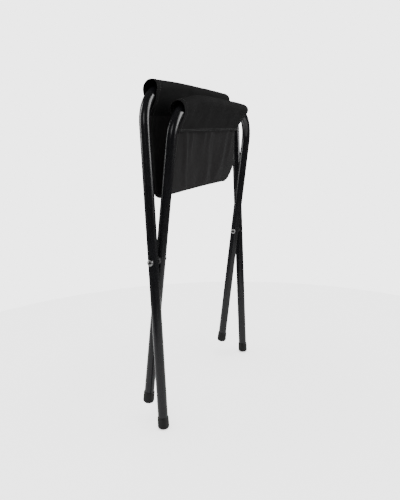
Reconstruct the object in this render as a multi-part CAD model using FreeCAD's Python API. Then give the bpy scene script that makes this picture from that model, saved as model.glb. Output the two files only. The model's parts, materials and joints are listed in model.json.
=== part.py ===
import FreeCAD, Part
import math
import os

from FreeCAD import Vector as V

os.makedirs("parts", exist_ok=True)

# Folding camp stool, millimetres.  +X runs along the two seat bars, +Z is up,
# +Y runs from the narrow frame's seat bar to the wide frame's.  The stool is
# modelled folded flat and standing on the two feet of the wide frame, whose legs
# are then nearly upright, because only so does its weight rest over those feet.
# The origin is on the floor under the middle of the bounding box.

# ------------------------------------------------------------ driving sizes
tube_od = 16.0              # round steel tube of both frames
tube_wall = 1.0
bend_soft_r = 97.5          # centre line of each bend: a gentle start beside the seat bar,
bend_soft_angle = 35.0      # for this many degrees,
bend_tight_r = 51.7         # then tighter until it runs down the leg

inner_leg_spacing = 306.8   # between the leg axes of the narrow frame
leg_gap = 6.75              # clear gap between a wide-frame leg and its neighbour
outer_leg_spacing = inner_leg_spacing + 2.0 * (tube_od + leg_gap)

outer_bar_height = 262.9    # pivot to seat bar axis, wide frame
outer_foot_drop = 272.6     # pivot to sole, wide frame
inner_bar_height = 243.2    # the same two, narrow frame
inner_foot_drop = 248.3
half_angle = 4.694          # half the angle between the two frames when folded, degrees
stand_turn = 4.01           # turn of the folded stool that brings its weight over the
                            # wide frame's soles, degrees

rivet_shank_r = 3.0
rivet_hole_r = 3.05
rivet_head_r = 5.0
rivet_head_t = 2.1
rivet_dimple_r = 2.1
rivet_dimple_depth = 3.2
rivet_stand_off = 0.15      # head to tube
spacer_r = 5.9
spacer_end_gap = 0.15       # spacer face to tube, each end

cap_length = 20.0
cap_floor = 3.0
cap_top_r = 8.95
cap_low_r = 9.3
cap_edge_round = 4.6
cap_bore_r = tube_od / 2 + 0.05

sleeve_ends_outer = (-150.0, 130.0)   # where the sleeve on the wide frame's bar starts and ends
sleeve_ends_inner = (-139.0, 119.0)   # the same, narrow frame
sleeve_bore_r = 10.5        # half width of the loop that the bar passes through
sleeve_top_gap = 0.3        # loop above the bar
sleeve_depth = 41.0         # bar axis to the closed lower end of the loop
sleeve_wall = 1.2
sleeve_hem = 46.0           # bar axis to the lower edge of the hem
tube_clearance = 0.4        # between the sleeve ends and the bends they reach
hem_thickness = 2.4

panel_thickness = 1.6
panel_ends = (-134.0, 104.0)          # where the hanging cloth starts and ends
crease_height = 111.9       # pivot axis up to the fold at the bottom of the loop
crease_r = 5.5              # radius of the fold at the bottom of the loop
crease_gap = 0.3            # between the two halves at the fold

# ------------------------------------------------------------ helpers
tube_r = tube_od / 2
theta = math.radians(half_angle)


def solid_of(shape):
    if shape.ShapeType == "Solid":
        return shape
    assert len(shape.Solids) == 1, len(shape.Solids)
    return shape.Solids[0]


def u_path(half, top, low):
    """Leg, bend, seat bar, bend, leg, in the XZ plane with the pivot at z = 0."""
    a = math.radians(bend_soft_angle)
    r1, r2 = bend_soft_r, bend_tight_r
    reach = r1 * math.sin(a) + r2 * (1 - math.sin(a))      # bend, along the bar
    c = half - reach

    def gentle(u):
        return c + r1 * math.sin(u), top - r1 * (1 - math.cos(u))

    jx, jz = gentle(a)
    ox, oz = jx - r2 * math.sin(a), jz - r2 * math.cos(a)  # centre of the tight part

    def tight(u):
        return ox + r2 * math.sin(u), oz + r2 * math.cos(u)

    def p(q, side):
        return V(side * q[0], 0, q[1])

    g0, g1, g2 = gentle(0), gentle(a / 2), gentle(a)
    t1, t2 = tight((a + math.pi / 2) / 2), tight(math.pi / 2)
    return Part.Wire([
        Part.makeLine(V(-half, 0, low), p(t2, -1)),
        Part.Arc(p(t2, -1), p(t1, -1), p(g2, -1)).toShape(),
        Part.Arc(p(g2, -1), p(g1, -1), p(g0, -1)).toShape(),
        Part.makeLine(p(g0, -1), p(g0, 1)),
        Part.Arc(p(g0, 1), p(g1, 1), p(g2, 1)).toShape(),
        Part.Arc(p(g2, 1), p(t1, 1), p(t2, 1)).toShape(),
        Part.makeLine(p(t2, 1), V(half, 0, low)),
    ])


def swept(path, start, radius):
    ring = Part.Wire(Part.makeCircle(radius, start, V(0, 0, 1)))
    return solid_of(path.makePipeShell([ring], True, False))


def frame_tube(half, top, foot):
    low = -foot + cap_floor + 0.05
    start = V(-half, 0, low)
    path = u_path(half, top, low)
    body = swept(path, start, tube_r).cut(swept(path, start, tube_r - tube_wall))
    for side in (-1, 1):
        hole = Part.makeCylinder(rivet_hole_r, tube_od + 4.0,
                                 V(side * half - tube_r - 2.0, 0, 0), V(1, 0, 0))
        body = body.cut(hole)
    return solid_of(body)


def foot_cap(x, foot):
    """Push-on cap: a slightly flared cup with a rounded lower edge."""
    r0, r1, e = cap_top_r, cap_low_r, cap_edge_round
    s = e * math.sin(math.pi / 4)
    z0, z1 = -foot, -foot + cap_length
    t = 0.8
    edges = [
        Part.makeLine(V(0, 0, z0), V(r1 - e, 0, z0)),
        Part.Arc(V(r1 - e, 0, z0), V(r1 - e + s, 0, z0 + e - s), V(r1, 0, z0 + e)).toShape(),
        Part.makeLine(V(r1, 0, z0 + e), V(r0, 0, z1 - t)),
        Part.makeLine(V(r0, 0, z1 - t), V(r0 - 0.55, 0, z1)),
        Part.makeLine(V(r0 - 0.55, 0, z1), V(cap_bore_r, 0, z1)),
        Part.makeLine(V(cap_bore_r, 0, z1), V(cap_bore_r, 0, z0 + cap_floor)),
        Part.makeLine(V(cap_bore_r, 0, z0 + cap_floor), V(0, 0, z0 + cap_floor)),
        Part.makeLine(V(0, 0, z0 + cap_floor), V(0, 0, z0)),
    ]
    face = Part.Face(Part.Wire(edges))
    cup = solid_of(face.revolve(V(0, 0, 0), V(0, 0, 1), 360))
    cup.translate(V(x, 0, 0))
    return cup


def rivet(side):
    """Rivet through both legs of one side, a dimpled round head at each end."""
    x_out = outer_leg_spacing / 2 + tube_r + rivet_stand_off
    x_in = inner_leg_spacing / 2 - tube_r - rivet_stand_off
    hr, ht, sr = rivet_head_r, rivet_head_t, rivet_shank_r
    dr, dd = rivet_dimple_r, rivet_dimple_depth
    e = 1.0
    k = e * math.sin(math.pi / 4)
    a, b = x_in - ht, x_out + ht
    edges = [
        Part.makeLine(V(a + dd, 0, 0), V(a + dd, 0, dr)),
        Part.makeLine(V(a + dd, 0, dr), V(a + 0.5, 0, dr)),
        Part.makeLine(V(a + 0.5, 0, dr), V(a, 0, dr + 0.5)),
        Part.makeLine(V(a, 0, dr + 0.5), V(a, 0, hr - e)),
        Part.Arc(V(a, 0, hr - e), V(a + e - k, 0, hr - e + k), V(a + e, 0, hr)).toShape(),
        Part.makeLine(V(a + e, 0, hr), V(x_in, 0, hr)),
        Part.makeLine(V(x_in, 0, hr), V(x_in, 0, sr)),
        Part.makeLine(V(x_in, 0, sr), V(x_out, 0, sr)),
        Part.makeLine(V(x_out, 0, sr), V(x_out, 0, hr)),
        Part.makeLine(V(x_out, 0, hr), V(b - e, 0, hr)),
        Part.Arc(V(b - e, 0, hr), V(b - e + k, 0, hr - e + k), V(b, 0, hr - e)).toShape(),
        Part.makeLine(V(b, 0, hr - e), V(b, 0, dr + 0.5)),
        Part.makeLine(V(b, 0, dr + 0.5), V(b - 0.5, 0, dr)),
        Part.makeLine(V(b - 0.5, 0, dr), V(b - dd, 0, dr)),
        Part.makeLine(V(b - dd, 0, dr), V(b - dd, 0, 0)),
        Part.makeLine(V(b - dd, 0, 0), V(a + dd, 0, 0)),
    ]
    body = solid_of(Part.Face(Part.Wire(edges)).revolve(V(0, 0, 0), V(1, 0, 0), 360))
    if side < 0:
        body.rotate(V(0, 0, 0), V(0, 0, 1), 180)
    return body


def spacer(side):
    """Washer-like bush that keeps the two legs apart on the rivet."""
    x0 = inner_leg_spacing / 2 + tube_r + spacer_end_gap
    x1 = outer_leg_spacing / 2 - tube_r - spacer_end_gap
    body = Part.makeCylinder(spacer_r, x1 - x0, V(x0, 0, 0), V(1, 0, 0))
    body = body.makeFillet(0.8, [e for e in body.Edges if isinstance(e.Curve, Part.Circle)])
    body = solid_of(body.cut(Part.makeCylinder(rivet_shank_r + 0.05, x1 - x0 + 2,
                                               V(x0 - 1, 0, 0), V(1, 0, 0))))
    if side < 0:
        body.rotate(V(0, 0, 0), V(0, 0, 1), 180)
    return body


def loop_face(x, radius, top, depth, place):
    """Upright oval in the plane x = const: half circle, two sides, half circle.
    place(n, t) gives (y, z) for n across the cloth and t down it."""
    lo = depth - radius
    hi = top + radius

    def p(n, t):
        y, z = place(n, t)
        return V(x, y, z)

    edges = [
        Part.Arc(p(-radius, hi), p(0, top), p(radius, hi)).toShape(),
        Part.makeLine(p(radius, hi), p(radius, lo)),
        Part.Arc(p(radius, lo), p(0, depth), p(-radius, lo)).toShape(),
        Part.makeLine(p(-radius, lo), p(-radius, hi)),
    ]
    return Part.Face(Part.Wire(edges))


def seat_half(bar_y, bar_z, toward, ends, frame):
    """One sleeve and the cloth that hangs from it to the fold.
    toward is -1 when the cloth hangs towards -Y, +1 towards +Y."""
    a = math.atan2(abs(bar_y), bar_z - crease_height)
    x0, length = ends[0], ends[1] - ends[0]
    d = (toward * math.sin(a), -math.cos(a))
    n = (-toward * math.cos(a), -math.sin(a))      # outward, away from the other half

    def place(u, t):
        return (bar_y + n[0] * u + d[0] * t, bar_z + n[1] * u + d[1] * t)

    top_in = -(tube_r + sleeve_top_gap)
    outer = loop_face(x0, sleeve_bore_r + sleeve_wall, top_in - sleeve_wall,
                      sleeve_depth + sleeve_wall, place)
    inner = loop_face(x0, sleeve_bore_r, top_in, sleeve_depth, place)
    ring = outer.extrude(V(length, 0, 0)).cut(inner.extrude(V(length, 0, 0)))
    h = hem_thickness / 2
    y_z = [place(-h, sleeve_depth + 0.4), place(h, sleeve_depth + 0.4),
           place(h, sleeve_hem), place(-h, sleeve_hem)]
    pts = [V(x0, y, z) for y, z in y_z]
    hem = Part.Face(Part.makePolygon(pts + pts[:1])).extrude(V(length, 0, 0))
    sleeve = ring.fuse(hem).removeSplitter()
    # the lower corners stand clear of the bends of the tube
    half, top = half_of[frame], top_of[frame]
    low = top - 2 * bend_soft_r
    bends = swept(u_path(half, top, low), V(-half, 0, low), tube_r + tube_clearance)
    bends.rotate(V(0, 0, 0), V(1, 0, 0), lean_of[frame])
    sleeve = solid_of(sleeve.cut(bends))

    # hanging cloth: straight from the hem to a tangent on the fold, then round it
    cy, cz = 0.0, crease_height + crease_r
    p0 = place(0, sleeve_hem)
    dx, dz = p0[0] - cy, p0[1] - cz
    dist = math.hypot(dx, dz)
    base = math.atan2(dz, dx)
    off = math.acos(crease_r / dist)
    ang = base - off if toward < 0 else base + off
    rad = (math.cos(ang), math.sin(ang))
    w = panel_thickness / 2
    gap = crease_gap / 2

    def on(r, phi):
        return (cy + r * math.cos(phi), cz + r * math.sin(phi))

    def run(r):
        tan = on(r, ang)
        top = (p0[0] + rad[0] * (r - crease_r), p0[1] + rad[1] * (r - crease_r))
        end_phi = -math.pi / 2 + (math.asin(gap / r) if toward < 0 else -math.asin(gap / r))
        phi0 = ang if toward < 0 else ang - 2 * math.pi
        mid = on(r, (phi0 + end_phi) / 2)
        return top, tan, mid, on(r, end_phi)

    if ang < 0 and toward > 0:
        ang += 2 * math.pi
    o, i = run(crease_r + w), run(crease_r - w)

    def q(p):
        return V(panel_ends[0], p[0], p[1])

    edges = [
        Part.makeLine(q(o[0]), q(o[1])),
        Part.Arc(q(o[1]), q(o[2]), q(o[3])).toShape(),
        Part.makeLine(q(o[3]), q(i[3])),
        Part.Arc(q(i[3]), q(i[2]), q(i[1])).toShape(),
        Part.makeLine(q(i[1]), q(i[0])),
        Part.makeLine(q(i[0]), q(o[0])),
    ]
    panel = solid_of(Part.Face(Part.Wire(edges)).extrude(
        V(panel_ends[1] - panel_ends[0], 0, 0)))
    return sleeve, panel


# ------------------------------------------------------------ pieces
nodes = {}

lean_of = {"outer": -half_angle, "inner": half_angle}
half_of = {"outer": outer_leg_spacing / 2, "inner": inner_leg_spacing / 2}
top_of = {"outer": outer_bar_height, "inner": inner_bar_height}
foot_of = {"outer": outer_foot_drop, "inner": inner_foot_drop}

for name in ("outer", "inner"):
    pieces = {
        name + "_frame_tube": frame_tube(half_of[name], top_of[name], foot_of[name]),
        name + "_left_foot_cap": foot_cap(-half_of[name], foot_of[name]),
        name + "_right_foot_cap": foot_cap(half_of[name], foot_of[name]),
    }
    for key, shape in pieces.items():
        shape.rotate(V(0, 0, 0), V(1, 0, 0), lean_of[name])
        nodes[key] = shape

for word, side in (("left", -1), ("right", 1)):
    nodes[word + "_pivot_rivet"] = rivet(side)
    nodes[word + "_pivot_spacer"] = spacer(side)

oy, oz = outer_bar_height * math.sin(theta), outer_bar_height * math.cos(theta)
iy, iz = -inner_bar_height * math.sin(theta), inner_bar_height * math.cos(theta)
nodes["seat_sleeve_outer"], nodes["seat_panel_outer"] = seat_half(
    oy, oz, -1, sleeve_ends_outer, "outer")
nodes["seat_sleeve_inner"], nodes["seat_panel_inner"] = seat_half(
    iy, iz, 1, sleeve_ends_inner, "inner")

# ------------------------------------------------------------ stand it on its feet
for key, shape in nodes.items():
    shape.rotate(V(0, 0, 0), V(1, 0, 0), stand_turn)


def turned(y, z):
    c, s = math.cos(math.radians(stand_turn)), math.sin(math.radians(stand_turn))
    return y * c - z * s, y * s + z * c


# the wide frame's soles are cut level, a tenth of a millimetre off square
level = math.radians(half_angle - stand_turn)
sole_level = (-outer_foot_drop * math.cos(level)
              + (cap_low_r - cap_edge_round) * math.sin(level))
for word in ("left", "right"):
    key = "outer_" + word + "_foot_cap"
    under = Part.makeBox(500, 200, 5, V(-250, -100, sole_level - 5))
    nodes[key] = solid_of(nodes[key].cut(under))

# ------------------------------------------------------------ place and write
box = None
for shape in nodes.values():
    b = shape.optimalBoundingBox(True, False)
    if box is None:
        box = FreeCAD.BoundBox(b)
    else:
        box.add(b)
shift = V(-(box.XMin + box.XMax) / 2, -(box.YMin + box.YMax) / 2, -box.ZMin)

for key, shape in nodes.items():
    shape.translate(shift)
    assert shape.isValid(), key
    shape.exportStep("parts/" + key + ".step")
    b = shape.BoundBox
    print("%-22s vol %9.1f  x %.1f..%.1f  y %.1f..%.1f  z %.1f..%.1f" % (
        key, shape.Volume, b.XMin, b.XMax, b.YMin, b.YMax, b.ZMin, b.ZMax))

print("box %.3f x %.3f x %.3f" % (box.XLength, box.YLength, box.ZLength))
print("pivot axis  y %.4f z %.4f" % (shift.y, shift.z))
points = {
    "outer bar": (oy, oz), "inner bar": (iy, iz),
    "fold": (0.0, crease_height),
    "outer sole": (-outer_foot_drop * math.sin(theta), -outer_foot_drop * math.cos(theta)),
    "inner sole": (inner_foot_drop * math.sin(theta), -inner_foot_drop * math.cos(theta)),
}
for name, (y, z) in points.items():
    y, z = turned(y, z)
    print("%-11s y %.4f z %.4f" % (name, y + shift.y, z + shift.z))
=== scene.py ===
import json
import math

import bpy
import numpy as np
from mathutils import Matrix, Vector

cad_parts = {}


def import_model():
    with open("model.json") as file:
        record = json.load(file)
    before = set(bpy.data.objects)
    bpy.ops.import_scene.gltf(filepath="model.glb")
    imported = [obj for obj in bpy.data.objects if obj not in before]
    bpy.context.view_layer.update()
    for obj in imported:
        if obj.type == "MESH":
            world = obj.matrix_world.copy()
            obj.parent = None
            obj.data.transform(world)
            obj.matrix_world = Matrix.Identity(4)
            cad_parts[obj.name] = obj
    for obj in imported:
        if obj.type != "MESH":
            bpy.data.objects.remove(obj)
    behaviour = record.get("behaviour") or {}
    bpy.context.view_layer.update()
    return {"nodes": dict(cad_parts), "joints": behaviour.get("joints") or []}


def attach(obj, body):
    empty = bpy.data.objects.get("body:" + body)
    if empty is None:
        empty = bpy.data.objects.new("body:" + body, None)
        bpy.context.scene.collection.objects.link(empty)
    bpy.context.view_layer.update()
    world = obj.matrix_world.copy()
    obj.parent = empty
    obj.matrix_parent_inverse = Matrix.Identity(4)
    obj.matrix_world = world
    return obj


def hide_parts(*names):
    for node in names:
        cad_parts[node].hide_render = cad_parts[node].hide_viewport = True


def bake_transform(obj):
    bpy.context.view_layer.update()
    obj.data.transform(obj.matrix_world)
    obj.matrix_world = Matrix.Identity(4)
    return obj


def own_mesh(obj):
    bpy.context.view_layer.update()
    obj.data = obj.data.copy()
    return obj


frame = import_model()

JOINT = {j["name"]: j for j in frame["joints"]}
NODE = frame["nodes"]


# ------------------------------------------------------------------ materials
def new_material(name):
    m = bpy.data.materials.new(name)
    m.use_nodes = True
    nt = m.node_tree
    nt.nodes.clear()
    out = nt.nodes.new("ShaderNodeOutputMaterial")
    bsdf = nt.nodes.new("ShaderNodeBsdfPrincipled")
    nt.links.new(bsdf.outputs["BSDF"], out.inputs["Surface"])
    return m, nt, bsdf


def node(nt, kind, **values):
    n = nt.nodes.new(kind)
    for k, v in values.items():
        if k in n.inputs:
            n.inputs[k].default_value = v
        else:
            setattr(n, k, v)
    return n


def noise(nt, vector, scale, detail=3.0, rough=0.5):
    n = node(nt, "ShaderNodeTexNoise", Scale=scale, Detail=detail, Roughness=rough)
    nt.links.new(vector, n.inputs["Vector"])
    return n.outputs["Fac"]


def ramp(nt, fac, stops):
    r = nt.nodes.new("ShaderNodeValToRGB")
    e = r.color_ramp.elements
    while len(e) < len(stops):
        e.new(0.5)
    for k, (p, c) in zip(e, stops):
        k.position = p
        k.color = (c, c, c, 1.0) if not hasattr(c, "__len__") else (*c, 1.0)
    nt.links.new(fac, r.inputs["Fac"])
    return r.outputs["Color"]


def math_node(nt, op, a, b=None):
    n = node(nt, "ShaderNodeMath", operation=op)
    for i, v in enumerate((a, b)):
        if v is None:
            continue
        if isinstance(v, (int, float)):
            n.inputs[i].default_value = v
        else:
            nt.links.new(v, n.inputs[i])
    return n.outputs[0]


def bump(nt, bsdf, height, strength, distance, chain=None):
    b = node(nt, "ShaderNodeBump", Strength=strength, Distance=distance)
    nt.links.new(height, b.inputs["Height"])
    if chain is not None:
        nt.links.new(chain, b.inputs["Normal"])
    nt.links.new(b.outputs["Normal"], bsdf.inputs["Normal"])
    return b.outputs["Normal"]


def powder_coat():
    m, nt, b = new_material("powder_coat_black")
    co = nt.nodes.new("ShaderNodeTexCoord").outputs["Object"]
    tone = noise(nt, co, 26.0, 4.0, 0.6)
    nt.links.new(ramp(nt, tone, [(0.3, (0.0040, 0.0040, 0.0048)), (0.72, (0.0065, 0.0065, 0.0075))]), b.inputs["Base Color"])
    gloss = noise(nt, co, 60.0, 5.0, 0.62)
    nt.links.new(ramp(nt, gloss, [(0.28, 0.20), (0.75, 0.30)]), b.inputs["Roughness"])
    b.inputs["Coat Weight"].default_value = 0.10
    b.inputs["Coat Roughness"].default_value = 0.12
    b.inputs["Coat IOR"].default_value = 1.5
    b.inputs["Specular IOR Level"].default_value = 0.20
    peel = noise(nt, co, 520.0, 2.0, 0.5)
    first = bump(nt, b, peel, 0.10, 0.00025)
    grain = noise(nt, co, 2100.0, 1.0, 0.5)
    bump(nt, b, grain, 0.05, 0.0001, first)
    return m


def moulded(name, low, high, r_low, r_high, grain_scale, grain):
    m, nt, b = new_material(name)
    co = nt.nodes.new("ShaderNodeTexCoord").outputs["Object"]
    tone = noise(nt, co, 90.0, 4.0, 0.6)
    nt.links.new(ramp(nt, tone, [(0.3, low), (0.72, high)]), b.inputs["Base Color"])
    gloss = noise(nt, co, 160.0, 4.0, 0.6)
    nt.links.new(ramp(nt, gloss, [(0.3, r_low), (0.72, r_high)]), b.inputs["Roughness"])
    b.inputs["Specular IOR Level"].default_value = 0.18
    bump(nt, b, noise(nt, co, grain_scale, 3.0, 0.6), grain, 0.0003)
    return m


def bright_steel():
    m, nt, b = new_material("zinc_bright")
    co = nt.nodes.new("ShaderNodeTexCoord").outputs["Object"]
    b.inputs["Metallic"].default_value = 1.0
    tone = noise(nt, co, 420.0, 4.0, 0.6)
    # painted shade: the hollow end and the outer rim of the head are painted dark as shade, with the bright metal ring
    # between
    box = nt.nodes.new("ShaderNodeSeparateXYZ")
    nt.links.new(nt.nodes.new("ShaderNodeTexCoord").outputs["Generated"], box.inputs[0])
    dy = math_node(nt, "SUBTRACT", box.outputs["Y"], 0.5)
    dz = math_node(nt, "SUBTRACT", box.outputs["Z"], 0.5)
    far = math_node(nt, "SQRT", math_node(nt, "ADD", math_node(nt, "MULTIPLY", dy, dy), math_node(nt, "MULTIPLY", dz, dz)), 0.0)
    # ring is a painted shade mask: dark in the hollow and at the rim of the head, full metal colour between
    ring = ramp(nt, math_node(nt, "MULTIPLY", far, 2.0), [(0.38, 0.05), (0.48, 0.80), (0.78, 1.0), (0.92, 0.22)])
    bright = ramp(nt, tone, [(0.3, (0.58, 0.58, 0.60)), (0.7, (0.80, 0.80, 0.81))])
    nt.links.new(math_node(nt, "MULTIPLY", bright, ring), b.inputs["Base Color"])
    gloss = noise(nt, co, 700.0, 4.0, 0.65)
    nt.links.new(ramp(nt, gloss, [(0.3, 0.22), (0.7, 0.40)]), b.inputs["Roughness"])
    bump(nt, b, noise(nt, co, 1500.0, 2.0, 0.5), 0.12, 0.0001)
    return m


def woven_cloth(name, low, high, sheen, gleam):
    m, nt, b = new_material(name)
    co = nt.nodes.new("ShaderNodeTexCoord").outputs["Object"]
    uv = node(nt, "ShaderNodeUVMap", uv_map="cloth").outputs["UV"]
    parts = nt.nodes.new("ShaderNodeSeparateXYZ")
    nt.links.new(uv, parts.inputs[0])
    pitch = 0.0011
    w = 2 * math.pi / pitch
    sx = math_node(nt, "SINE", math_node(nt, "MULTIPLY", parts.outputs["X"], w))
    sy = math_node(nt, "SINE", math_node(nt, "MULTIPLY", parts.outputs["Y"], w))
    weave = math_node(nt, "MULTIPLY", sx, sy)
    weave = math_node(nt, "MULTIPLY_ADD", weave, 0.5)
    weave.node.inputs[2].default_value = 0.5
    broad = noise(nt, co, 22.0, 5.0, 0.62)
    fine = noise(nt, uv, 1900.0, 3.0, 0.7)
    mix = math_node(nt, "ADD", math_node(nt, "MULTIPLY", broad, 0.55), math_node(nt, "MULTIPLY", fine, 0.25))
    mix = math_node(nt, "ADD", mix, math_node(nt, "MULTIPLY", weave, 0.20))
    nt.links.new(ramp(nt, mix, [(0.30, low), (0.70, high)]), b.inputs["Base Color"])
    nt.links.new(ramp(nt, mix, [(0.30, 0.78), (0.70, 0.92)]), b.inputs["Roughness"])
    b.inputs["Specular IOR Level"].default_value = gleam
    b.inputs["Sheen Weight"].default_value = sheen
    b.inputs["Sheen Roughness"].default_value = 0.45
    b.inputs["Sheen Tint"].default_value = (0.75, 0.75, 0.78, 1.0)
    first = bump(nt, b, weave, 0.35, 0.00022)
    second = bump(nt, b, fine, 0.18, 0.0002, first)
    bump(nt, b, noise(nt, co, 150.0, 4.0, 0.6), 0.20, 0.0008, second)
    return m


def sewing_thread():
    m, nt, b = new_material("sewing_thread_black")
    co = nt.nodes.new("ShaderNodeTexCoord").outputs["Object"]
    tone = noise(nt, co, 300.0, 3.0, 0.6)
    nt.links.new(ramp(nt, tone, [(0.3, (0.014, 0.014, 0.0145)), (0.7, (0.030, 0.030, 0.031))]), b.inputs["Base Color"])
    b.inputs["Roughness"].default_value = 0.6
    bump(nt, b, noise(nt, co, 4000.0, 2.0, 0.5), 0.3, 0.0001)
    return m


TUBE = powder_coat()
CAP = moulded("foot_cap_black", (0.0030, 0.0029, 0.0030), (0.0052, 0.0050, 0.0052), 0.50, 0.66, 900.0, 0.18)
BUSH = moulded("spacer_black", (0.0080, 0.0080, 0.0084), (0.0125, 0.0125, 0.0130), 0.42, 0.56, 1200.0, 0.12)
RIVET = bright_steel()
CLOTH = woven_cloth("woven_polyester_black", (0.0044, 0.0040, 0.0041), (0.0096, 0.0086, 0.0088), 0.025, 0.12)
# the sleeve and hem flap use the same woven cloth painted darker: painted shade on the sleeve
SLEEVE_PAINTED_SHADE = woven_cloth("woven_polyester_sleeve_painted_shade", (0.0018, 0.0018, 0.0018), (0.0038, 0.0037, 0.0037), 0.018, 0.09)
THREAD = sewing_thread()


def paint(name, material):
    o = NODE[name]
    o.data.materials.clear()
    o.data.materials.append(material)


for name in NODE:
    if name.endswith("_tube"):
        paint(name, TUBE)
    elif name.endswith("_cap"):
        paint(name, CAP)
    elif name.endswith("_rivet"):
        paint(name, RIVET)
    elif name.endswith("_spacer"):
        paint(name, BUSH)
    else:
        paint(name, CLOTH)


# ------------------------------------------------------------------ cloth, in mm
TUBE_R = 8.0
SOFT_R, SOFT_ANGLE, TIGHT_R = 97.5, math.radians(35.0), 51.7
BEND = SOFT_R * math.sin(SOFT_ANGLE) + TIGHT_R * (1 - math.sin(SOFT_ANGLE))
LEAN = 4.694
# The cloth is laid out with both frames leaning equally, and then turned with
# the whole folded stool onto the wide frame's feet.
FOLD_Y, FOLD_Z = -0.8159, 384.0      # line that both halves share when the stool is open
BAR = {"outer": (20.6983, 534.1040), "inner": (-20.7179, 514.4700)}
EVEN_PIVOT = np.array([0.0, -0.8159, 272.0857])
TURN = math.radians(4.01)


def mm(p):
    return np.array([v * 1000.0 for v in p])


PIVOT = mm(JOINT["outer_fold"]["pos_m"])
SPIN = np.array([[1, 0, 0], [0, math.cos(TURN), -math.sin(TURN)], [0, math.sin(TURN), math.cos(TURN)]])


def stand(points):
    return (np.asarray(points) - EVEN_PIVOT) @ SPIN.T + PIVOT


def bar_drop(dx):
    """How far the bent bar has dropped, and its slope, dx past its straight part."""
    reach = SOFT_R * math.sin(SOFT_ANGLE)
    if dx <= reach:
        rise = math.sqrt(SOFT_R ** 2 - dx ** 2)
        return SOFT_R - rise, SOFT_R / rise
    u = dx - reach + TIGHT_R * math.sin(SOFT_ANGLE)
    rise = math.sqrt(TIGHT_R ** 2 - u ** 2)
    return SOFT_R - (SOFT_R - TIGHT_R) * math.cos(SOFT_ANGLE) - rise, TIGHT_R / rise


def smooth01(x):
    x = np.clip(x, 0.0, 1.0)
    return x * x * (3 - 2 * x)


def bell(x, centre, width):
    return np.exp(-((x - centre) / width) ** 2)


def lerp_table(x, table):
    return np.interp(x, [a for a, _ in table], [b for _, b in table])


def hull(points):
    """Convex hull, counter-clockwise."""
    pts = sorted(map(tuple, points))

    def half(seq):
        out = []
        for p in seq:
            while len(out) > 1 and ((out[-1][0] - out[-2][0]) * (p[1] - out[-2][1])
                                    - (out[-1][1] - out[-2][1]) * (p[0] - out[-2][0])) <= 0:
                out.pop()
            out.append(p)
        return out[:-1]

    return np.array(half(pts) + half(pts[::-1]))


def resample(line, n):
    seg = np.linalg.norm(np.diff(line, axis=0), axis=1)
    along = np.concatenate([[0], np.cumsum(seg)])
    at = np.linspace(0, along[-1], n)
    return np.stack([np.interp(at, along, line[:, k]) for k in (0, 1)], axis=1)


SPLIT_Z = 386.0


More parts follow.
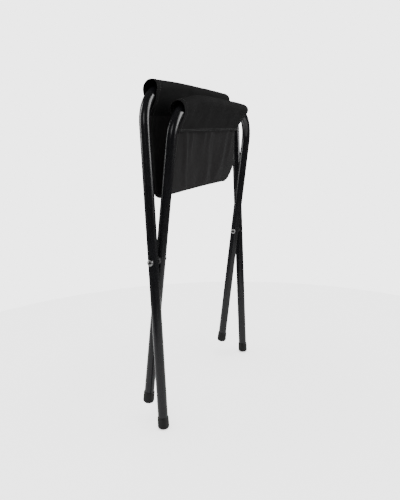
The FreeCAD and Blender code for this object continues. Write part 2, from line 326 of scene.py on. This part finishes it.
class Half:
    """One half of the sling: its sleeve, hem flap and hanging cloth."""

    def __init__(self, which):
        self.which = which
        inner = which == "inner"
        self.bar = np.array(BAR[which])
        d = np.array([FOLD_Y, FOLD_Z]) - self.bar
        self.length = float(np.linalg.norm(d))
        self.down = d / self.length
        # outward normal: away from the other half
        self.out = np.array([self.down[1], -self.down[0]]) if inner else np.array([-self.down[1], self.down[0]])
        self.lean = math.degrees(math.atan2(abs(self.down[0]), -self.down[1]))
        self.half_width = 153.4 if inner else 176.15
        self.straight = self.half_width - BEND
        self.cap = 62.0 if inner else 57.0
        if inner:
            self.top = [(-145, 4.6), (-140, 3.4), (-132, 0.9), (-122, -1.4), (-111, -3.0), (-97, -5.4), (-83, -7.6),
                        (-65, -9.4), (-43, -10.3), (0, -10.5), (45, -10.1), (80, -9.9), (98, -9.6), (105, -9.1), (118, -8.2), (124, -7.2)]
            self.near = [(-12, -141.0), (3, -140.6), (7, -137.5), (11, -134.2), (17, -131.6), (22, -131.0), (28, -131.4), (36, -130.4),
                         (44, -129.5), (52, -131.0), (70, -135.5), (100, -140.0), (125, -144.0), (140, -146.0)]
            self.near_back = [(-12, -141.0), (3, -141.2), (14, -140.4), (25, -140.2), (34, -137.0), (42, -131.5), (46, -130.0)]
            self.far = [(-12, 121.0), (0, 119.5), (10, 115.5), (23, 108.5), (30, 106.0), (40, 104.5), (52, 104.0)]
            self.far_low = [(40, 102.0), (47, 99.0), (54, 100.0), (64, 103.5), (76, 107.5), (90, 111.5), (100, 114.0), (107, 114.8),
                            (113, 113.4), (119, 109.6), (125, 104.0), (130, 97.5), (134, 90.0), (138, 82.0)]
        else:
            self.top = [(-155, -6.0), (-150, -6.4), (-138, -7.0), (-121, -8.0), (-100, -9.0), (-80, -9.7), (-50, -10.2), (0, -10.4),
                        (78, -10.4), (100, -9.9), (123, -9.0), (134, -7.6)]
            self.near = [(-12, -152.0), (-5, -153.0), (4, -155.0), (10, -155.5), (16, -153.8), (24, -152.0), (34, -151.5), (48, -152.5),
                         (75, -154.0), (110, -155.0), (160, -155.0)]
            self.near_back = self.near
            self.far = [(-12, 125.0), (2, 125.0), (14, 124.0), (26, 120.5), (38, 116.0), (48, 112.0), (75, 108.0), (105, 104.5),
                        (125, 101.0), (138, 95.5), (148, 89.5), (154, 86.0)]
            self.far_low = self.far

    # ---- where the hem and the fold run
    def hem(self, x):
        return 45.0 - 0.04 * x if self.which == "inner" else 46.5 - 0.02 * x

    def fold_z(self, x):
        return lerp_table(x, [(-156, 367.2), (-148, 367.9), (-122, 370.5), (-84, 372.6), (-43, 374.6), (3, 376.7), (45, 378.1), (86, 379.4)])

    def fold_t(self, x):
        return self.length - (self.fold_z(x) - FOLD_Z) / abs(self.down[1])

    def loose(self, x):
        """How much the near edge of the wide-frame half stands out."""
        return 0.0 * x if self.which == "inner" else smooth01((-x - 92.0) / 56.0)

    # ---- sleeve section at one station
    def section(self, x, count_front, count_back):
        far_side = x > 0
        dx = max(0.0, abs(x) - self.straight)
        dx = min(dx, self.cap)
        drop, stretch = bar_drop(dx)
        skew = math.radians(self.lean - LEAN)
        cn, ct = drop * math.sin(skew), drop * math.cos(skew)
        top = float(lerp_table(x, self.top))
        a = np.linspace(0, 2 * np.pi, 97)[:-1]
        puff = smooth01((-x - 78.0) / 66.0) * (2.6 if self.which == "inner" else 3.4) + smooth01((x - 70.0) / 50.0) * 1.2
        r = 9.5 + puff
        seam_t = self.hem(x) - 4.4
        out = 8.4 * float(self.loose(x))
        pts = np.concatenate([
            np.stack([0.1 + r * np.cos(a), top + r + r * np.sin(a)], 1),
            np.stack([cn + 8.75 * np.cos(a), ct + 8.75 * stretch * np.sin(a)], 1),
            [[0.9 + out, seam_t], [-0.6 + out, seam_t]],
        ])
        pts = pts[pts[:, 1] <= seam_t + 1e-9]
        ring = hull(pts)
        apex = int(np.argmin(ring[:, 1]))
        ring = np.roll(ring, -apex, axis=0)
        ring = np.concatenate([ring, ring[:1]])
        i_front = int(np.argmin(np.hypot(ring[:, 0] - 0.9 - out, ring[:, 1] - seam_t)))
        i_back = int(np.argmin(np.hypot(ring[:, 0] + 0.6 - out, ring[:, 1] - seam_t)))
        if i_front < i_back:      # the ring goes over the front first
            front, back = ring[:i_front + 1], ring[i_back:]
        else:
            front, back = ring[i_front:][::-1], ring[:i_back + 1][::-1]
        return resample(front[::-1], count_front), resample(back[::-1], count_back)

    # ---- relief of the cloth: outward is positive
    def relief_sleeve(self, x, t, side):
        """side +1 on the outward wall, -1 on the other."""
        fade = smooth01((t + 4) / 10.0) * smooth01((self.hem(x) - 3 - t) / 9.0)
        k = 0.0
        if self.which == "inner" and side > 0:
            for cx, ct, wx, wt, slant, amp in (
                    (-88, 14, 13, 13, 0.5, -1.5), (-62, 26, 11, 16, 0.6, -0.9), (-74, 30, 9, 12, 0.5, 0.7), (-25, 20, 20, 13, 0.4, -1.4),
                    (6, 8, 7, 12, 0.15, 1.0), (30, 17, 12, 14, 0.5, -1.3), (58, 20, 9, 15, 0.6, 0.8), (74, 17, 13, 12, 0.5, -1.1),
                    (96, 24, 9, 12, 0.5, 0.8), (-110, 24, 9, 20, 0.3, 0.9)):
                u = (x - cx) + slant * (t - ct)
                k = k + amp * np.exp(-(u / wx) ** 2 - ((t - ct) / wt) ** 2)
        else:
            for cx, ct, wx, wt, slant, amp in (
                    (-104, 16, 13, 16, -0.4, -1.1), (-70, 22, 12, 14, 0.5, 0.8), (-38, 14, 15, 13, -0.4, -1.1), (4, 22, 12, 15, 0.4, 0.7),
                    (36, 18, 15, 14, -0.3, -1.0), (76, 22, 12, 15, 0.4, 0.8), (104, 18, 10, 14, -0.3, -0.8)):
                u = (x - cx) + slant * (t - ct)
                k = k + amp * np.exp(-(u / wx) ** 2 - ((t - ct) / wt) ** 2)
        return 0.6 * k * fade

    def relief_panel(self, x, t):
        """Soft upright folds of the hanging cloth."""
        t0 = self.hem(x)
        u = np.clip((t - t0) / (self.fold_t(x) - t0), 0, 1)
        lower = smooth01((1 - u) / 0.14)
        upper = smooth01((t - t0 + 4.5) / 7.0)
        if self.which == "inner":
            k = 2.3 * bell(x, -104 + 20 * u, 6.5 + 1.5 * u)
            k = k + 1.1 * bell(x, -80 + 8 * u, 5.5) * (1 - smooth01((u - 0.12) / 0.5))
            k = k - 1.5 * bell(x, -52 + 12 * u, 15)
            k = k + 2.1 * bell(x, -14 + 6 * u, 6.5 + 2.5 * u) * (1 - 0.35 * u)
            k = k - 1.3 * bell(x, 10 + 9 * u, 9)
            k = k + 2.4 * bell(x, 58 - 26 * u, 8.5 + 4 * u)
            k = k + 1.2 * bell(x, 88 - 18 * u, 8) * (1 - smooth01((u - 0.3) / 0.6))
            k = k - 1.0 * bell(x, 74 - 10 * u, 8)
            k = k + 0.8 * bell(x, -32 + 4 * u, 5) * (1 - smooth01((u - 0.05) / 0.45))
            k = k + 0.7 * bell(x, 30 - 4 * u, 5) * (1 - smooth01((u - 0.05) / 0.45))
        else:
            k = 1.6 * bell(x, -92 + 10 * u, 9) + 1.4 * bell(x, -30 - 8 * u, 10) + 1.7 * bell(x, 34 + 6 * u, 11)
            k = k - 1.3 * bell(x, -62, 14) - 1.2 * bell(x, 2, 14) - 1.3 * bell(x, 74 - 8 * u, 14)
        k = k * (0.72 + 0.28 * np.sin(t / 15.0 + x / 26.0)) + 0.5 * np.sin(x / 21.0 + t / 19.0) * np.sin(t / 27.0 - x / 47.0)
        return 1.6 * k * lower * upper

    # ---- the whole middle surface: rows run hem edge, flap, front wall, top, back wall, hanging cloth, fold
    def surface(self, v_near, v_far, step=2.2, n_front=25, n_back=25, n_panel=44, n_low=6, n_arc=9):
        rows_t = []
        flap = 4
        cols = np.linspace(-156, 138, 99)
        fronts, backs = zip(*[self.section(x, n_front, n_back) for x in cols])
        fronts, backs = np.array(fronts), np.array(backs)       # stations, rows, (n, t)

        def soften(g, passes, axis):
            for _ in range(passes):
                m = g.copy()
                if axis == 0:
                    m[1:-1] = 0.25 * g[:-2] + 0.5 * g[1:-1] + 0.25 * g[2:]
                else:
                    m[:, 1:-1] = 0.25 * g[:, :-2] + 0.5 * g[:, 1:-1] + 0.25 * g[:, 2:]
                g = m
            return g

        both = np.concatenate([fronts, backs[:, 1:]], axis=1)
        both = soften(soften(both, 6, 0), 2, 1)

        # cross positions: dense beside the two side hems
        hem_w = 9.0
        edge = np.array([0.0, 0.5, 1.4, 3.0, 4.8, 6.6, 7.8, 8.6, 9.2, 10.2, 11.8])
        n_mid = int(round((260.0 - 24.0) / step))
        n_cols = len(edge) * 2 + n_mid
        rows = flap + both.shape[1] + n_panel + n_arc
        P = np.zeros((rows, n_cols, 3))
        side_of = np.zeros(rows)
        T = np.zeros((rows, n_cols))
        for r in range(rows):
            # rough height of this row, to find where its ends are
            if r < flap:
                t_guess = 46.0
            elif r < flap + both.shape[1]:
                t_guess = float(both[50, r - flap, 1])
            elif r < flap + both.shape[1] + n_panel:
                j, last = r - flap - both.shape[1], n_panel - 1 - n_low
                k = 0.957 * (j + 1) / (last + 1) if j <= last else 0.957 + 0.043 * (j - last) / n_low
                t_guess = 42.0 + k * (self.length + 2 - 42.0)
            else:
                t_guess = self.length + 4
            back_wall = flap + n_front <= r < flap + both.shape[1]
            near = self.near_back if back_wall else self.near
            far = self.far_low if r >= flap + both.shape[1] else self.far
            a, b = float(lerp_table(t_guess, near)), float(lerp_table(t_guess, far))
            xs = np.concatenate([a + edge, np.linspace(a + 13.4, b - 13.4, n_mid), b - edge[::-1]])
            T[r] = t_guess
            if r < flap:
                k = r / flap
                th, ts = self.hem(xs), self.hem(xs) - 4.4
                t = th + (ts - th) * k
                n = 2.3 + (0.9 - 2.3) * k + 0.3 * np.sin(xs / 17.0) * (1 - k) + 8.4 * self.loose(xs)
                side_of[r] = 1
            elif r < flap + both.shape[1]:
                i = r - flap
                n = np.interp(xs, cols, both[:, i, 0])
                t = np.interp(xs, cols, both[:, i, 1])
                side_of[r] = 1 if i < n_front else -1
                s = 1 if i < n_front else -1
                bump_ = self.relief_sleeve(xs, t, s)
                n = n + s * bump_
            else:
                w = self.loose(xs)
                s_out = -1.0 if self.which == "inner" else 1.0
                wide, deep, power = 2.7 + 8.6 * w, 2.7 + 4.6 * w, 2.0 / (2.0 + 0.7 * w)
                zb = self.fold_z(xs)
                wall_y, wall_z = FOLD_Y + s_out * wide, zb + deep
                ry, rz = wall_y - self.bar[0], wall_z - self.bar[1]
                wall_n = ry * self.out[0] + rz * self.out[1]
                wall_t = ry * self.down[0] + rz * self.down[1]
                ts = self.hem(xs) - 4.4
                j = r - flap - both.shape[1]
                if j < n_panel:
                    # one row runs level, just above the line the two halves share
                    level = (SPLIT_Z - self.bar[1] - (wall_n * self.out[1])) / self.down[1]
                    kh = np.clip((level - ts) / (wall_t - ts), 0.5, 0.985)
                    last = n_panel - 1 - n_low
                    k = kh * (j + 1) / (last + 1) if j <= last else kh + (1 - kh) * (j - last) / n_low
                    t = ts + (wall_t - ts) * k
                    h = k * k * (3 - 2 * k)
                    n0 = -0.6 + 8.4 * w
                    n = n0 + (wall_n - n0) * ((0.45 * k + 0.55 * h) * (1 - w) + w * k)
                    n = n + 3.2 * w * np.abs(np.sin(math.pi * k)) ** 0.8
                    n = n + self.relief_panel(xs, t)
                    if j == last:
                        t = np.where(kh < 0.984, (SPLIT_Z - self.bar[1] - n * self.out[1]) / self.down[1], t)
                else:
                    k = (j - n_panel + 1) / n_arc
                    beta = math.pi / 2 * (1 - k)
                    y = FOLD_Y + s_out * wide * max(0.0, math.sin(beta)) ** power
                    z = zb + deep - deep * max(0.0, math.cos(beta)) ** power
                    n = (y - self.bar[0]) * self.out[0] + (z - self.bar[1]) * self.out[1]
                    t = (y - self.bar[0]) * self.down[0] + (z - self.bar[1]) * self.down[1]
                side_of[r] = -1
            P[r, :, 0] = xs
            P[r, :, 1] = self.bar[0] + n * self.out[0] + t * self.down[0]
            P[r, :, 2] = self.bar[1] + n * self.out[1] + t * self.down[1]
        # ends of neighbouring rows run on smoothly
        for _ in range(2):
            q = P[:, :, 0].copy()
            q[1:-1] = 0.25 * P[:-2, :, 0] + 0.5 * P[1:-1, :, 0] + 0.25 * P[2:, :, 0]
            P[:, :, 0] = q
        # gentle overall unevenness
        x, z = P[..., 0], P[..., 2]
        wob = 0.22 * np.sin(x / 9.3 + z / 13.0) + 0.18 * np.sin(x / 5.7 - z / 21.0 + 1.3) + 0.15 * np.sin(x / 14.1 + z / 6.3 + 0.4)
        keep = np.ones(rows)
        keep[:flap + 2] = 0.25
        keep[-n_arc - 1:] = np.linspace(0.8, 0.0, n_arc + 1)
        P[..., 1] += wob * keep[:, None] * self.out[0] * side_of[:, None]
        P[..., 2] += wob * keep[:, None] * self.out[1] * side_of[:, None]
        self.flap, self.n_sleeve, self.n_panel, self.n_arc = flap, both.shape[1], n_panel, n_arc
        self.split = flap + both.shape[1] + n_panel - 1 - n_low
        self.P = P
        self.edge = edge
        # normals of the middle surface
        du = np.gradient(P, axis=1)
        dv = np.gradient(P, axis=0)
        N = np.cross(du, dv)
        N /= np.linalg.norm(N, axis=2, keepdims=True)
        self.N = N
        # cloth thickness: doubled along the two side hems
        dist = np.minimum(P[..., 0] - P[:, :1, 0], P[:, -1:, 0] - P[..., 0])
        hem = 1 - smooth01((dist - 7.9) / 0.9)
        self.half_t = 0.34 + 0.34 * hem
        self.half_t[:, 0] *= 0.55
        self.half_t[:, -1] *= 0.55
        # distances along the cloth for the weave
        along = np.concatenate([np.zeros((1, P.shape[1])), np.cumsum(np.linalg.norm(np.diff(P, axis=0), axis=2), axis=0)])
        self.along = along
        return self

    def piece(self, name, c0, c1, r0, r1):
        """A closed thin mesh of the rows r0..r1 and the columns c0..c1."""
        part = np.s_[r0:r1 + 1, c0:c1 + 1]
        P, N, h = self.P[part], self.N[part], self.half_t[part][..., None]
        rows, cols = P.shape[:2]
        top, low = P + N * h, P - N * h
        verts = stand(np.concatenate([top.reshape(-1, 3), low.reshape(-1, 3)])) / 1000.0
        normals = np.concatenate([N.reshape(-1, 3), -N.reshape(-1, 3)]) @ SPIN.T
        off = rows * cols

        def idx(r, c):
            return r * cols + c

        faces, kinds = [], []
        for r in range(rows - 1):
            for c in range(cols - 1):
                # material 1 is the darker sleeve cloth with painted shade, used on the flap and sleeve rows
                kinds += [1 if r + r0 < self.flap + self.n_sleeve - 1 else 0] * 2
                a, b, d, e = idx(r, c), idx(r, c + 1), idx(r + 1, c + 1), idx(r + 1, c)
                faces.append((a, b, d, e))
                faces.append((off + a, off + e, off + d, off + b))
        for r in range(rows - 1):
            a, e = idx(r, 0), idx(r + 1, 0)
            faces.append((a, e, off + e, off + a))
            b, d = idx(r, cols - 1), idx(r + 1, cols - 1)
            faces.append((b, off + b, off + d, d))
        for c in range(cols - 1):
            a, b = idx(0, c), idx(0, c + 1)
            faces.append((a, off + a, off + b, b))
            e, d = idx(rows - 1, c), idx(rows - 1, c + 1)
            faces.append((e, d, off + d, off + e))
        mesh = bpy.data.meshes.new(name)
        mesh.from_pydata([tuple(v) for v in verts], [], faces)
        uv = mesh.uv_layers.new(name="cloth")
        flat = np.stack([np.concatenate([P[..., 0].ravel()] * 2), np.concatenate([self.along[part].ravel()] * 2)], 1) / 1000.0
        loop_v = np.zeros(len(mesh.loops), np.int32)
        mesh.loops.foreach_get("vertex_index", loop_v)
        uv.data.foreach_set("uv", flat[loop_v].astype(np.float32).ravel())
        mesh.polygons.foreach_set("use_smooth", np.ones(len(mesh.polygons), bool))
        kinds += [0] * (len(mesh.polygons) - len(kinds))
        mesh.polygons.foreach_set("material_index", np.array(kinds, np.int32))
        mesh.update()
        mesh.normals_split_custom_set_from_vertices([tuple(n) for n in normals])
        mesh.validate()
        mesh.materials.append(CLOTH)
        mesh.materials.append(SLEEVE_PAINTED_SHADE)
        o = bpy.data.objects.new(name, mesh)
        bpy.context.scene.collection.objects.link(o)
        length = float(np.linalg.norm(np.diff(P, axis=0), axis=2).sum(0).mean())
        width = float(np.linalg.norm(np.diff(P, axis=1), axis=2).sum(1).mean())
        across, down = P[1:, 1:] - P[:-1, :-1], P[1:, :-1] - P[:-1, 1:]
        area = float(0.5 * np.linalg.norm(np.cross(across, down), axis=2).sum())
        return o, (width / 1000.0, length / 1000.0), area / 1e6


def thread_mesh(name, paths, pitch=3.4, long=2.4, radius=0.27):
    """Separate stitches lying on the cloth: paths are (points, normals) in mm."""
    verts, faces = [], []
    rings, sides = 5, 6
    for pts, nor in paths:
        seg = np.linalg.norm(np.diff(pts, axis=0), axis=1)
        along = np.concatenate([[0], np.cumsum(seg)])
        s = 1.2
        while s + long < along[-1] - 1.0:
            u = np.linspace(0, 1, rings)
            at = s + u * long
            p = np.stack([np.interp(at, along, pts[:, k]) for k in range(3)], 1)
            n = np.stack([np.interp(at, along, nor[:, k]) for k in range(3)], 1)
            n /= np.linalg.norm(n, axis=1, keepdims=True)
            d = p[-1] - p[0]
            d /= np.linalg.norm(d)
            side = np.cross(d, n)
            side /= np.linalg.norm(side, axis=1, keepdims=True)
            lift = radius * (1.1 * np.sin(np.pi * u) - 0.55)
            size = radius * (0.45 + 0.55 * np.sin(np.pi * (0.12 + 0.76 * u)))
            base = len(verts)
            for i in range(rings):
                for k in range(sides):
                    a = 2 * math.pi * k / sides
                    verts.append(p[i] + n[i] * (lift[i] + size[i] * math.cos(a)) + side[i] * size[i] * math.sin(a))
            for i in range(rings - 1):
                for k in range(sides):
                    a, b = base + i * sides + k, base + i * sides + (k + 1) % sides
                    faces.append((a, b, b + sides, a + sides))
            faces.append(tuple(base + k for k in range(sides))[::-1])
            faces.append(tuple(base + (rings - 1) * sides + k for k in range(sides)))
            s += pitch
    verts = stand(verts) / 1000.0
    mesh = bpy.data.meshes.new(name)
    mesh.from_pydata([tuple(v) for v in verts], [], faces)
    mesh.polygons.foreach_set("use_smooth", np.ones(len(mesh.polygons), bool))
    mesh.update()
    mesh.materials.append(THREAD)
    o = bpy.data.objects.new(name, mesh)
    bpy.context.scene.collection.objects.link(o)
    return o


def add_half(which, blend_of):
    h = Half(which)
    h.surface(None, None)
    P, N, ht = h.P, h.N, h.half_t[..., None]
    middle = int(np.argmin(np.abs(P[h.flap + 5, :, 0] - 0.0)))
    cols = P.shape[1]
    for word, c0, c1 in (("left", 0, middle), ("right", middle, cols - 1)):
        split, end = h.split, P.shape[0] - 1
        col = 6 if word == "left" else cols - 7
        # seam rows: along the hem, and along the free side edge
        hems = []
        for row in (2, h.flap):
            hems.append((P[row, c0:c1 + 1] + N[row, c0:c1 + 1] * ht[row, c0:c1 + 1], N[row, c0:c1 + 1]))

        def edge_paths(r0, r1):
            return [(P[r0:r1 + 1, col] + sgn * N[r0:r1 + 1, col] * ht[r0:r1 + 1, col], sgn * N[r0:r1 + 1, col]) for sgn in (1, -1)]

        # sleeve and hanging cloth, baked in place with their stitches; the blend span from the bar is worked out but
        # not used
        o, flat, area = h.piece("seat_cloth_%s_%s" % (which, word), c0, c1, 0, split)
        s = thread_mesh("seat_stitches_%s_%s" % (which, word), hems + edge_paths(0, split))
        x0, x1, t0, b = blend_of[word]
        a = x1 - x0
        dn = 1.0 / (1 / a ** 2 + 1 / b ** 2)
        start = np.array([x0, h.bar[0] + t0 * h.down[0], h.bar[1] + t0 * h.down[1]])
        d = dn * np.array([1 / a, h.down[0] / b, h.down[1] / b])
        start, end_at = stand(start), stand(start + d)
        for piece in (o, s):
            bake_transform(piece)
        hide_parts("seat_sleeve_" + which, "seat_panel_" + which)
        # the slack at the fold, parented to the seat half's body
        low, flat_low, area_low = h.piece("seat_fold_%s_%s" % (which, word), c0, c1, split, end)
        s_low = thread_mesh("seat_fold_stitches_%s_%s" % (which, word), edge_paths(split, end))
        for piece in (low, s_low):
            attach(piece, "seat_" + which)
            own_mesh(piece)
        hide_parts("seat_panel_" + which)
    return h


INNER = add_half("inner", {"left": (-141.0, -96.0, 42.0, 50.0), "right": (119.0, 80.0, 30.0, 50.0)})
OUTER = add_half("outer", {"left": (-151.0, -102.0, 34.0, 50.0), "right": (134.0, 100.0, 24.0, 50.0)})


# ------------------------------------------------------------------ floor, light, camera
def floor():
    m, nt, b = new_material("studio_floor")
    co = nt.nodes.new("ShaderNodeTexCoord").outputs["Object"]
    nt.links.new(ramp(nt, noise(nt, co, 2.0, 2.0, 0.5), [(0.3, 0.86), (0.7, 0.88)]), b.inputs["Base Color"])
    b.inputs["Roughness"].default_value = 0.9
    b.inputs["Specular IOR Level"].default_value = 0.1
    b.inputs["Emission Color"].default_value = (1, 1, 1, 1)
    b.inputs["Emission Strength"].default_value = 1.7
    mesh = bpy.data.meshes.new("studio_floor")
    r = 0.80
    ring = [(r * math.cos(a), r * math.sin(a), -0.0004) for a in np.linspace(0, 2 * math.pi, 65)[:-1]]
    mesh.from_pydata(ring, [], [tuple(range(64))])
    mesh.update()
    mesh.materials.append(m)
    o = bpy.data.objects.new("studio_floor", mesh)
    bpy.context.scene.collection.objects.link(o)
    o.visible_glossy = False


floor()


def world():
    w = bpy.data.worlds.new("studio")
    bpy.context.scene.world = w
    w.use_nodes = True
    nt = w.node_tree
    nt.nodes.clear()
    out = nt.nodes.new("ShaderNodeOutputWorld")
    shown = node(nt, "ShaderNodeBackground", Color=(1, 1, 1, 1), Strength=3.8)
    lit = node(nt, "ShaderNodeBackground", Color=(1, 1, 1, 1), Strength=0.10)
    path = nt.nodes.new("ShaderNodeLightPath")
    mix = nt.nodes.new("ShaderNodeMixShader")
    nt.links.new(path.outputs["Is Camera Ray"], mix.inputs[0])
    nt.links.new(lit.outputs[0], mix.inputs[1])
    nt.links.new(shown.outputs[0], mix.inputs[2])
    nt.links.new(mix.outputs[0], out.inputs["Surface"])


world()


def softbox(name, position, target, width, height, radiance):
    light = bpy.data.lights.new(name, "AREA")
    light.shape = "RECTANGLE"
    light.size, light.size_y = width, height
    light.energy = radiance * math.pi * width * height
    o = bpy.data.objects.new(name, light)
    o.location = position
    d = Vector(target) - Vector(position)
    o.rotation_euler = d.to_track_quat("-Z", "Y").to_euler()
    bpy.context.scene.collection.objects.link(o)
    return o


streak = softbox("softbox_front", (0.92, -2.05, 1.36), (0, 0, 0.9), 1.55, 2.0, 12.5)
streak.visible_diffuse = False
rim = softbox("softbox_back", (-0.95, 2.00, 1.42), (0, 0, 0.9), 1.10, 2.0, 10.0)
rim.visible_diffuse = False
softbox("softbox_camera", (-2.10, -0.62, 1.30), (0, 0, 0.45), 0.7, 0.9, 6.4)
bounce = softbox("floor_bounce", (0, 0, 0.0002), (0, 0.0001, 1), 1.2, 1.2, 1.5)
bounce.visible_camera = False
bounce.visible_diffuse = False
sun = bpy.data.lights.new("overhead", "SUN")
sun.energy = 5.5
sun.angle = math.radians(70)
overhead = bpy.data.objects.new("overhead", sun)
overhead.visible_glossy = False
bpy.context.scene.collection.objects.link(overhead)

cam = bpy.data.cameras.new("camera")
cam.sensor_width = 36.0
cam.lens = 36.83
cam.clip_start = 0.01
camera = bpy.data.objects.new("camera", cam)
right = Vector(SPIN @ np.array([0.4344, -0.9003, 0.0278])).normalized()
up = Vector(SPIN @ np.array([0.1775, 0.1158, 0.9773])).normalized()
back = right.cross(up).normalized()
up = back.cross(right).normalized()
rot = Matrix((right, up, back)).transposed()
eye = stand([-826.64, -387.76, 454.63]) / 1000.0
camera.matrix_world = Matrix.Translation(tuple(eye)) @ rot.to_4x4()
bpy.context.scene.collection.objects.link(camera)
bpy.context.scene.camera = camera
